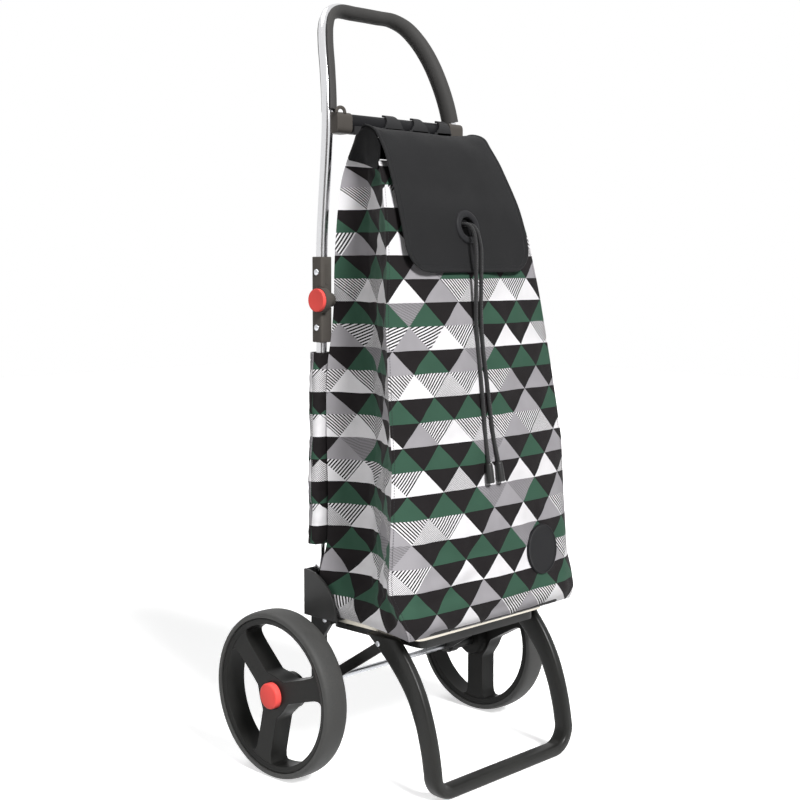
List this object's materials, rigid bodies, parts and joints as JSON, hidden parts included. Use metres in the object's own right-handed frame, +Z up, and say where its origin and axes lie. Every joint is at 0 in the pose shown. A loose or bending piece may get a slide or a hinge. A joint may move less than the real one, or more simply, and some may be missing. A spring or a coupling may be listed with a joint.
{
  "type": "shopping trolley on wheels",
  "caption": "Upright folding shopping trolley: tube frame with looped handle, front foot, spoked wheels and a tall patterned fabric bag with flap and drawcord.",
  "frame": {"origin": "on the floor under the middle of the overall box", "axes": "+Z up, -Y to the front where the foot and the bag face, X across along the axle, +X the side with the badge"},
  "size_m": [0.445, 0.331, 1.0167],
  "materials": {
    "black_plastic": "satin moulded black",
    "grey_plastic": "matt moulded dark grey",
    "red_plastic": "satin moulded coral red",
    "tyre_rubber": "matt foamed rubber, black",
    "bright_tube": "bright anodised tube",
    "steel": "zinc-plated steel",
    "print_fabric": "coated polyester with a printed triangle patchwork in green, grey, black and white",
    "black_fabric": "woven polyester, near black",
    "board": "stiffening board"
  },
  "bodies": {
    "base": {"platform_tray": "black_plastic", "foot": "black_plastic", "hanger_comb": "black_plastic", "badge": "black_plastic", "axle_spacer_left": "black_plastic", "axle_spacer_right": "black_plastic", "axle_post_left": "black_plastic", "axle_post_right": "black_plastic", "platform_strut_left": "black_plastic", "platform_strut_right": "black_plastic", "corner_cup_left": "black_plastic", "corner_cup_right": "black_plastic", "lower_joint_left": "black_plastic", "lower_joint_right": "black_plastic", "cord_end_left": "black_plastic", "cord_end_right": "black_plastic", "lower_tube_left": "bright_tube", "lower_tube_right": "bright_tube", "axle": "steel", "platform_frame": "steel", "post_rivet_left": "steel", "post_rivet_right": "steel", "foot_rivet_left": "steel", "foot_rivet_right": "steel", "lower_rivet_left": "steel", "lower_rivet_right": "steel", "bag_body": "print_fabric", "tube_sleeve_left": "print_fabric", "tube_sleeve_right": "print_fabric", "back_yoke": "black_fabric", "drawcord_left": "black_fabric", "drawcord_right": "black_fabric", "base_board": "board"},
    "handle": {"handle_tube": "bright_tube", "handle_grip": "grey_plastic", "crossbar_tube": "bright_tube", "crossbar_cover": "black_plastic", "collar_left": "grey_plastic", "collar_right": "grey_plastic", "upper_joint_left": "black_plastic", "upper_joint_right": "black_plastic", "upper_rivet_left": "steel", "upper_rivet_right": "steel", "pivot_pin_left": "steel", "pivot_pin_right": "steel"},
    "wheel_left": {"tyre_left": "tyre_rubber", "rim_left": "black_plastic", "wheel_bush_left": "grey_plastic"},
    "release_left": {"wheel_release_left": "red_plastic"},
    "button_left": {"fold_button_left": "red_plastic"},
    "wheel_right": {"tyre_right": "tyre_rubber", "rim_right": "black_plastic", "wheel_bush_right": "grey_plastic"},
    "release_right": {"wheel_release_right": "red_plastic"},
    "button_right": {"fold_button_right": "red_plastic"},
    "lid": {"flap": "black_fabric", "flap_eyelet": "grey_plastic"}
  },
  "joints": [
    {"name": "handle_fold", "type": "hinge", "parent": "base", "child": "handle", "pos_m": [0, 0.042, 0.621], "axis": [1, 0, 0], "range_deg": [0, 165], "deforming": ["bag_body", "back_yoke", "hanger_comb", "badge", "flap", "flap_eyelet", "drawcord_left", "drawcord_right", "cord_end_left", "cord_end_right"]},
    {"name": "fold_button_left_press", "type": "slide", "parent": "base", "child": "button_left", "axis": [1, 0, 0], "range_m": [0, 0.0025], "stiffness_N_per_m": 600, "springref_m": -0.002},
    {"name": "wheel_left_spin", "type": "hinge", "parent": "base", "child": "wheel_left", "pos_m": [-0.2, 0.0555, 0.11], "axis": [1, 0, 0], "continuous": true},
    {"name": "wheel_release_left_press", "type": "slide", "parent": "wheel_left", "child": "release_left", "axis": [1, 0, 0], "range_m": [0, 0.002], "stiffness_N_per_m": 600, "springref_m": -0.002},
    {"name": "fold_button_right_press", "type": "slide", "parent": "base", "child": "button_right", "axis": [-1, 0, 0], "range_m": [0, 0.0025], "stiffness_N_per_m": 600, "springref_m": -0.002},
    {"name": "wheel_right_spin", "type": "hinge", "parent": "base", "child": "wheel_right", "pos_m": [0.2, 0.0555, 0.11], "axis": [1, 0, 0], "continuous": true},
    {"name": "wheel_release_right_press", "type": "slide", "parent": "wheel_right", "child": "release_right", "axis": [-1, 0, 0], "range_m": [0, 0.002], "stiffness_N_per_m": 600, "springref_m": -0.002},
    {"name": "flap_open", "type": "hinge", "parent": "base", "child": "lid", "pos_m": [0, 0.0225, 0.8405], "axis": [-1, 0, 0], "range_deg": [0, 90], "deforming": ["drawcord_left", "drawcord_right"]}
  ]
}
